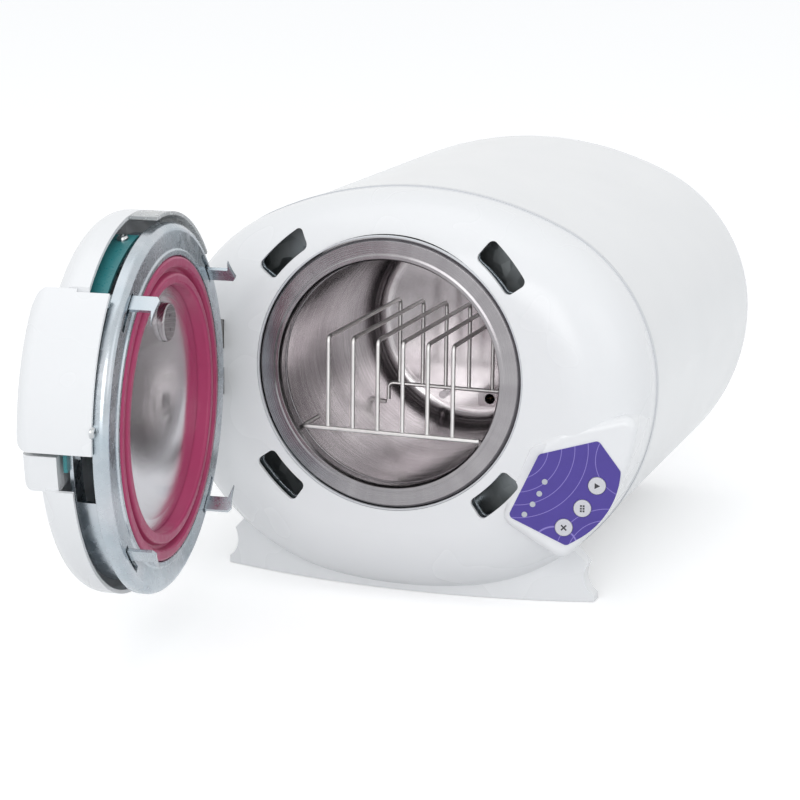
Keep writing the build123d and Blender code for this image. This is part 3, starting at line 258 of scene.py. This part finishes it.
def silicone(name):
    """Moulded silicone rubber: deep pink, satin, with a little light passing into its lips"""
    material, tree, shader = new_material(
        name, IOR=1.43, subsurface_weight=0.08, subsurface_radius=(0.004, 0.0015, 0.002), sheen_weight=0.08)
    place = coordinates(tree)
    link(tree, shader,
         base_color=blend_colours(tree, noise(tree, place, 30, 3), "#A22E5C", "#B23A6A"),
         roughness=spread(tree, noise(tree, place, 5, 3), 0.28, 0.42),
         normal=bump(tree, noise(tree, place, 3, 2), 0.008, 0.35))
    return material


def rubber(name, pale, dark):
    """Black moulded rubber: matt, with a mottled tone and softened edges"""
    material, tree, shader = new_material(name, IOR=1.5)
    place = coordinates(tree)
    link(tree, shader,
         base_color=blend_colours(tree, noise(tree, place, 6, 4), dark, pale),
         roughness=spread(tree, noise(tree, place, 3, 3), 0.55, 0.75),
         normal=bump(tree, noise(tree, place, 0.9, 3), 0.03, 0.6, soft_edges(tree, 0.5)))
    return material


def textured_plastic(name, pale, dark, rough=(0.35, 0.5), size=0.5):
    """Moulded engineering plastic with a fine spark-eroded texture"""
    material, tree, shader = new_material(name, IOR=1.5)
    place = coordinates(tree)
    link(tree, shader,
         base_color=blend_colours(tree, noise(tree, place, 12, 2), dark, pale),
         roughness=spread(tree, noise(tree, place, 2, 3), *rough),
         normal=bump(tree, noise(tree, place, size, 3), 0.02, 0.6, soft_edges(tree, 0.3)))
    return material


def machined_brass(name):
    """Machined brass: warm, bright on its turned faces"""
    material, tree, shader = new_material(name, metallic=1.0)
    place = coordinates(tree, stretch=(1, 6, 1))
    link(tree, shader,
         base_color=blend_colours(tree, noise(tree, place, 10, 3), "#B08A45", "#D2AE62"),
         roughness=spread(tree, noise(tree, place, 1, 4), 0.2, 0.36),
         normal=bump(tree, noise(tree, place, 0.8, 2), 0.01, 0.4, soft_edges(tree, 0.3)))
    return material


def glass_wool(name):
    """Glass-wool felt: pale matted fibres"""
    material, tree, shader = new_material(name, sheen_weight=0.3)
    place = coordinates(tree, stretch=(1, 0.3, 1))
    fibres = noise(tree, place, 1.5, 6, 0.7)
    link(tree, shader,
         base_color=blend_colours(tree, fibres, "#C9BE96", "#EAE3C6"),
         roughness=spread(tree, fibres, 0.85, 1.0),
         normal=bump(tree, fibres, 0.4, 0.8))
    return material


def galvanised(name):
    """Galvanised sheet: zinc crystals about ten millimetres across"""
    material, tree, shader = new_material(name, metallic=1.0)
    spangle = add_node(tree, "TexVoronoi", {"Vector": coordinates(tree), "Scale": 1 / (9 * MM)}).outputs["Color"]
    tone = add_node(tree, "SeparateColor", {0: spangle}).outputs[0]
    link(tree, shader,
         base_color=blend_colours(tree, tone, "#8F9598", "#B4BABC"),
         roughness=spread(tree, tone, 0.3, 0.5, 0, 1),
         normal=bump(tree, tone, 0.01, 0.3, soft_edges(tree, 0.3)))
    return material


def circuit_board(name):
    """Glass-epoxy board under green solder mask, with the copper tracks showing through as lines"""
    material, tree, shader = new_material(name, IOR=1.5, coat_weight=0.4)
    place = coordinates(tree)
    inputs = {"Vector": place, "Scale": 1 / (6 * MM), "Mortar Size": 0.06}
    tracks = add_node(tree, "TexBrick", inputs).outputs["Fac"]
    link(tree, shader,
         base_color=blend_colours(tree, tracks, "#14532C", "#2B7A45"),
         roughness=spread(tree, tracks, 0.3, 0.4, 0, 1),
         normal=bump(tree, tracks, 0.03, 0.5))
    return material


def frosted_plastic(name):
    """Clear polycarbonate gone grey: a satin, half see-through band"""
    material, tree, shader = new_material(name, IOR=1.58, transmission_weight=0.45)
    place = coordinates(tree)
    link(tree, shader,
         base_color=blend_colours(tree, noise(tree, place, 25, 3), "#C9CCCE", "#E6E9EA"),
         roughness=spread(tree, noise(tree, place, 6, 3), 0.18, 0.3),
         normal=bump(tree, noise(tree, place, 3, 2), 0.01, 0.4, soft_edges(tree, 0.4)))
    return material


# Circles of the keypad's print: place from the film's middle, radius and line width, millimetres
KEYPAD_CURVES = [(-34, 30, 22 + 9 * k, 0.45) for k in range(4)]
KEYPAD_CURVES += [(30, -46, 20 + 8 * k, 0.45) for k in range(3)]
KEYPAD_CURVES += [(-6, -40, 16, 1.1), (46, 24, 26, 0.45)]


def keypad_print(name):
    """Screen-printed polyester film: violet, with thin pale curves between the keys"""
    material, tree, shader = new_material(name, IOR=1.55)
    middle = centre("keypad_film")
    place = coordinates(tree, middle, (0, 0, -atan2(POD_SLOPE, 1)))
    flat = add_node(tree, "VectorMath", {0: place, 1: (1, 0, 1)}, operation="MULTIPLY").outputs[0]

    def arc(x, z, radius, width):
        """Mask of a thin circle about a point of the film, in millimetres"""
        ends = {0: flat, 1: (x * MM, 0, z * MM)}
        span = add_node(tree, "VectorMath", ends, operation="DISTANCE").outputs["Value"]
        line = {0: span, 1: radius * MM, 2: width * MM / 2}
        return add_node(tree, "Math", line, operation="COMPARE").outputs[0]

    mask = None
    for x, z, radius, width in KEYPAD_CURVES:
        one = arc(x, z, radius, width)
        mask = add_node(tree, "Math", {0: mask, 1: one}, operation="MAXIMUM").outputs[0] if mask else one
    violet = blend_colours(tree, noise(tree, place, 15, 2), "#43338F", "#4C3B9C")
    faint = add_node(tree, "Math", {0: mask, 1: 0.6}, operation="MULTIPLY").outputs[0]
    link(tree, shader,
         base_color=blend_colours(tree, faint, violet, "#A99BE6"),
         roughness=spread(tree, noise(tree, place, 2, 3), 0.34, 0.44),
         normal=bump(tree, noise(tree, place, 0.7, 2), 0.01, 0.4))
    return material


WHITE_ABS = moulded("white_abs_moulding", "#F2F3F4", "#EEEFF1")
RING_TURN = (0, 0, 0)
DOOR_TURN = (0, 0, DOOR_ANGLE)

FINISHES = {
    "white_abs": WHITE_ABS,
    # The enamel is a little darker than the panel's white: partly its own tone, partly painted shade of the
    # barrel's side
    "white_enamel": enamelled("white_stove_enamel_painted_shade", "#EEEFF0", "#EAEBEC"),
    # Painted shade: the trim is white moulding, drawn grey to stand for the shade in the seam round the panel and
    # at the ring's edge
    "trim_white": moulded("white_abs_trim_painted_seam_shade", "#D6D8DB", "#CFD1D5", (0.25, 0.35)),
    "ring_steel": turned_steel("turned_stainless_ring_painted_spokes", CHAMBER, RING_TURN, "#B9B6B8", "#8B888B", (0.18, 0.3)),
    "chamber_steel": brushed_steel(
        "polished_chamber_steel", (0.05, 1, 0.05), "#E4E1E2", "#A39DA0", (0.14, 0.26), 0.005, 3.0),
    # The spun disc's colour carries strong painted highlight spokes
    "spun_steel": turned_steel(
        "spun_stainless_disc_painted_spokes", DOOR, DOOR_TURN, "#EAE9EB", "#A9A7AB", (0.14, 0.26), 0.9, 0.9, 0.9),
    "zinc_steel": plated("zinc_plated_steel", "#CDD1D6", "#B3B9BF", "#A3B5BE"),
    "wire_steel": wire_steel("polished_rack_wire"),
    "bracket_steel": brushed_steel("satin_bracket_steel", (1, 1, 0.1), "#A3A2A1", "#7F7D7C"),
    "silicone": silicone("pink_silicone_rubber"),
    "lever_paint": textured_plastic("teal_lever_paint", "#3C8E92", "#2C767B", (0.25, 0.4), 2.0),
    "screw_steel": plated("bright_zinc_screws", "#DADCDD", "#A7AAAC", "#C5C9CC", (0.12, 0.25), 0.2),
    "grey_shroud": frosted_plastic("frosted_polycarbonate"),
    "film": keypad_print("printed_keypad_film"),
    "key_grey": textured_plastic("grey_key_plastic", "#D9D9DE", "#CFCFD6"),
    "led_grey": textured_plastic("diffuse_lens_plastic", "#C4C8D0", "#B4B8C2", (0.2, 0.3), 1.0),
    "black_plastic": textured_plastic("black_polyamide", "#1A1A1B", "#0E0E0F"),
    "rocker_red": textured_plastic("red_polycarbonate", "#B01818", "#8E1010", (0.15, 0.25), 2.0),
    "foot_rubber": rubber("black_foot_rubber", "#2A2A2A", "#161616"),
    "brass": machined_brass("machined_brass"),
    "insulation": glass_wool("glass_wool_felt"),
    "heater": brushed_steel("aluminium_heater_band", (0.1, 1, 0.1), "#BDBDBA", "#8C8C88"),
    "circuit_green": circuit_board("green_circuit_board"),
    "galvanised": galvanised("galvanised_sheet"),
    "transformer_blue": textured_plastic("transformer_lacquer", "#1F2F55", "#152243", (0.4, 0.6), 2.0),
}

for part in frame["record"]["subparts"]:
    node = nodes[part["node"]]
    node.data.materials.clear()
    node.data.materials.append(FINISHES[part["material_slot"]])


# Camera, floor and light

def make_camera():
    """Camera at the picture's viewing angle"""
    around, above, roll = radians(AZIMUTH), radians(ELEVATION), radians(ROLL)
    back = Vector((sin(around) * cos(above), -cos(around) * cos(above), sin(above)))
    right = Vector((0, 0, 1)).cross(back).normalized()
    up = back.cross(right)
    right, up = right * cos(roll) + up * sin(roll), up * cos(roll) - right * sin(roll)
    turn = Matrix((right, up, back)).transposed().to_4x4()
    data = bpy.data.cameras.new("camera")
    data.lens = LENS
    data.sensor_width = 36.0
    data.clip_start = 0.05
    data.clip_end = 60.0
    camera = bpy.data.objects.new("camera", data)
    camera.matrix_world = Matrix.Translation(CAMERA_PLACE) @ turn
    bpy.context.scene.collection.objects.link(camera)
    bpy.context.scene.camera = camera


def seen_directly(tree):
    """1 for rays from the camera, and those reflected or passed through by the object"""
    path = add_node(tree, "LightPath").outputs
    either = add_node(tree, "Math", {0: path["Is Camera Ray"], 1: path["Is Glossy Ray"]}, operation="MAXIMUM")
    inputs = {0: either.outputs[0], 1: path["Is Transmission Ray"]}
    return add_node(tree, "Math", inputs, operation="MAXIMUM").outputs[0]


def make_floor():
    """Pale floor that shows white but keeps the object's shadow"""
    material = bpy.data.materials.new("pale_floor")
    material.use_nodes = True
    tree = material.node_tree
    tree.nodes.clear()
    direct = seen_directly(tree)
    tone = blend_colours(tree, direct, "#E4E5E6", "#F3F3F3")
    matt = add_node(tree, "BsdfDiffuse", {"Color": tone, "Roughness": 0.4}).outputs[0]
    glow = add_node(tree, "Emission", {"Color": (1, 1, 1, 1), "Strength": FLOOR_GLOW}).outputs[0]
    dark = add_node(tree, "Emission", {"Color": (0, 0, 0, 1), "Strength": 0.0}).outputs[0]
    lift = add_node(tree, "MixShader", {0: direct, 1: dark, 2: glow}).outputs[0]
    both = add_node(tree, "AddShader", {0: matt, 1: lift}).outputs[0]
    add_node(tree, "OutputMaterial", {"Surface": both})
    shape = bmesh.new()
    bmesh.ops.create_grid(shape, x_segments=4, y_segments=4, size=20)
    mesh = bpy.data.meshes.new("floor")
    shape.to_mesh(mesh)
    shape.free()
    mesh.materials.append(material)
    floor = bpy.data.objects.new("floor", mesh)
    floor.location.z = -0.0005
    bpy.context.scene.collection.objects.link(floor)


def make_world():
    """White seen directly, and an even grey for everything that it lights"""
    world = bpy.data.worlds.new("studio")
    world.use_nodes = True
    tree = world.node_tree
    tree.nodes.clear()
    fill = add_node(tree, "Background", {"Color": colour("#F4F6F8"), "Strength": FILL}).outputs[0]
    white = add_node(tree, "Background", {"Color": (1, 1, 1, 1), "Strength": 1.0}).outputs[0]
    both = add_node(tree, "MixShader", {0: seen_directly(tree), 1: fill, 2: white}).outputs[0]
    add_node(tree, "OutputWorld", {"Surface": both})
    bpy.context.scene.world = world


def make_light(name, place, target, size, power):
    """Square softbox aimed at a point of the object"""
    data = bpy.data.lights.new(name, "AREA")
    data.shape = "SQUARE"
    data.size = size
    data.energy = power
    light = bpy.data.objects.new(name, data)
    aim = Vector(target) - Vector(place)
    light.matrix_world = Matrix.Translation(place) @ aim.to_track_quat("-Z", "Y").to_matrix().to_4x4()
    bpy.context.scene.collection.objects.link(light)


# Strength of the floor's own white and of the even light from all round
FLOOR_GLOW = 0.28
FILL = 0.82
bpy.context.scene.view_settings.view_transform = "Standard"
make_camera()
make_floor()
make_world()
make_light("softbox_above", (-0.5, -0.2, 2.6), (0, 0.1, 0.1), 2.0, 6)
make_light("softbox_front", (0.5, -3.0, 1.3), (-0.05, 0, 0.12), 1.8, 25)
make_light("softbox_right", (2.4, -0.6, 1.2), (0, 0.1, 0.15), 1.4, 3)


# Pieces that finish the object

def new_piece(name, shape, material, body):
    """Turn a bmesh into a piece that rides on a body"""
    bmesh.ops.recalc_face_normals(shape, faces=shape.faces)
    mesh = bpy.data.meshes.new(name)
    shape.to_mesh(mesh)
    shape.free()
    mesh.shade_smooth()
    mesh.set_sharp_from_angle(angle=radians(32))
    mesh.materials.append(material)
    piece = bpy.data.objects.new(name, mesh)
    bpy.context.scene.collection.objects.link(piece)
    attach(piece, body)
    return piece


def facing(place, out, right):
    """Matrix that stands a drawing in its XY plane at a place, facing out"""
    up = out.cross(right)
    return Matrix.Translation(place) @ Matrix((right, up, out)).transposed().to_4x4()


def plate(shape, points, thick):
    """Flat plate from an outline in metres, standing on its plane"""
    face = shape.faces.new([shape.verts.new((x, y, 0)) for x, y in points])
    made = bmesh.ops.extrude_face_region(shape, geom=[face])["geom"]
    bmesh.ops.translate(shape, vec=(0, 0, thick), verts=[v for v in made if isinstance(v, bmesh.types.BMVert)])


def loop(shape, points):
    """Ring of vertices joined by edges"""
    corners = [shape.verts.new(p) for p in points]
    return [shape.edges.new((corners[k - 1], corners[k])) for k in range(len(corners))]


def circle(radius, height, count=24):
    """Points of a level circle"""
    return [Vector((radius * cos(2 * pi * k / count), radius * sin(2 * pi * k / count), height))
            for k in range(count)]


def pan_screw(shape, matrix, radius, rise):
    """Domed screw head with a cross recess, its seat on the matrix's own plane"""
    arm, half = radius * 0.62, radius * 0.14
    cross = [(arm, half), (half, half), (half, arm), (-half, arm), (-half, half), (-arm, half),
             (-arm, -half), (-half, -half), (-half, -arm), (half, -arm), (half, -half), (arm, -half)]
    steps = [(1.0, -0.1), (1.0, 0.3), (0.93, 0.62), (0.8, 0.88), (0.7, 1.0)]
    rings = [loop(shape, circle(radius * wide, rise * high)) for wide, high in steps]
    rings.append(loop(shape, [Vector((x, y, rise)) for x, y in cross]))
    rings.append(loop(shape, [Vector((x * 0.8, y * 0.8, rise * 0.4)) for x, y in cross]))
    for outer, inner in zip(rings, rings[1:]):
        bmesh.ops.bridge_loops(shape, edges=outer + inner)
    bmesh.ops.edgenet_fill(shape, edges=rings[-1])
    bmesh.ops.edgenet_fill(shape, edges=rings[0])
    made = list({v for ring in rings for e in ring for v in e.verts})
    bmesh.ops.transform(shape, matrix=matrix, verts=made)


def pod(x, z, lift):
    """Point over the control pod's face in front view, millimetres about the chamber axis"""
    return Vector((x, POD_FACE + POD_SLOPE * x, z + CHAMBER.z / MM)) * MM + POD_OUT * lift * MM


def key_symbol(name, key, outlines):
    """Dark symbol printed on the face of a key"""
    shape = bmesh.new()
    for points in outlines:
        plate(shape, [(u * MM, v * MM) for u, v in points], INK_THICK * MM)
    place = pod(*KEY_PLACES[key], KEY_RISE)
    bmesh.ops.transform(shape, matrix=facing(place, POD_OUT, POD_RIGHT), verts=list(shape.verts))
    new_piece(name, shape, DARK_INK, key)


def square(x, y, half):
    """Corners of a square"""
    return [(x - half, y - half), (x + half, y - half), (x + half, y + half), (x - half, y + half)]


def cross_points(reach, half):
    """Corners of a slanting cross"""
    arms = []
    for k in range(4):
        a = pi / 4 + k * pi / 2
        along, across = Vector((cos(a), sin(a))), Vector((-sin(a), cos(a)))
        arms += [along * reach - across * half, along * reach + across * half, (along + across) * half]
    return [tuple(p) for p in arms]


# Middles of the keys on the pod, the height of their faces over it, and the ink on them, millimetres
KEY_PLACES = {"start_key": (149.2, -65.4), "mode_key": (139.9, -81.6), "stop_key": (127.9, -95.6)}
KEY_RISE = 1.4
INK_THICK = 0.05
GRID_STEP = 1.8
DARK_INK = textured_plastic("dark_printing_ink", "#3A3A40", "#2E2E34", (0.4, 0.5), 0.6)
key_symbol("play_symbol", "start_key", [[(-1.6, -2.1), (2.2, 0), (-1.6, 2.1)]])
key_symbol("grid_symbol", "mode_key",
           [square(GRID_STEP * (i - 0.5), GRID_STEP * (j - 1), 0.65) for i in range(2) for j in range(3)])
key_symbol("cross_symbol", "stop_key", [cross_points(2.5, 0.5)])


def door_frame(radius, angle, depth, radial):
    """Matrix on the closed door's circle, its Z pointing outward or towards the chamber"""
    a = radians(angle)
    place = opened(radius * cos(a), -depth, radius * sin(a))
    outward = (opened(2 * radius * cos(a), -depth, 2 * radius * sin(a)) - place).normalized()
    around = outward.cross(DOOR_OUT)
    return facing(place, outward, around) if radial else facing(place, -DOOR_OUT, around)


def grip_screws():
    """Two screws that hold the grip: one through the lever's rim, one in the grip's own lip"""
    shape = bmesh.new()
    pan_screw(shape, door_frame(116, 77.5, 24, True), 3.8 * MM, 2.6 * MM)
    pan_screw(shape, door_frame(121.4, 5.6, 11.3, False), 4.4 * MM, 2.4 * MM)
    new_piece("grip_screws", shape, FINISHES["screw_steel"], "lock")


def rear_cover_screws():
    """Screws round the edge of the rear cover"""
    rear_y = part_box("rear_cover")[1].y
    shape = bmesh.new()
    for half, z in ((152, 165), (88, 252), (66, 32)):
        for x in (-half, half):
            place = Vector((x * MM, rear_y, z * MM))
            pan_screw(shape, facing(place, Vector((0, 1, 0)), Vector((-1, 0, 0))), 3.6 * MM, 2.2 * MM)
    new_piece("rear_cover_screws", shape, FINISHES["screw_steel"], "cabinet")


def spin_about_chamber(shape, steps):
    """Turn an outline once round the chamber's axis"""
    bmesh.ops.spin(shape, geom=list(shape.verts) + list(shape.edges), cent=(0, 0, CHAMBER.z), axis=(0, 1, 0),
                   angle=2 * pi, steps=steps, use_merge=True)


def mouth_weld():
    """Weld bead where the chamber's tube meets the ring, 0.9 mm to each side and 0.7 mm high"""
    weld_y, weld_radius, half, rise = -18.4, 79, 0.9, 0.7
    shape = bmesh.new()
    turns = [pi * k / 6 for k in range(7)]
    loop(shape, [Vector((0, (weld_y + half * cos(t)) * MM, CHAMBER.z + (weld_radius - rise * sin(t)) * MM))
                 for t in turns])
    spin_about_chamber(shape, 96)
    new_piece("mouth_weld", shape, FINISHES["ring_steel"], "cabinet")


def panel_lip():
    """Lip that closes the gap between the panel and the chamber ring, in the trim's grey: painted shade along the
    ring's edge
    """
    inner, outer, face, back = 95.1 * MM, 96.4 * MM, CHAMBER.y + 1.4 * MM, CHAMBER.y + 2.9 * MM
    middle, crown = (inner + outer) / 2, (outer - inner) / 2
    profile = [(middle + crown * cos(pi * k / 8), face - crown * sin(pi * k / 8)) for k in range(9)]
    profile += [(inner, back), (outer, back)]
    shape = bmesh.new()
    loop(shape, [Vector((0, y, CHAMBER.z + radius)) for radius, y in profile])
    spin_about_chamber(shape, 128)
    new_piece("panel_lip", shape, FINISHES["trim_white"], "cabinet")


grip_screws()
rear_cover_screws()
mouth_weld()
panel_lip()
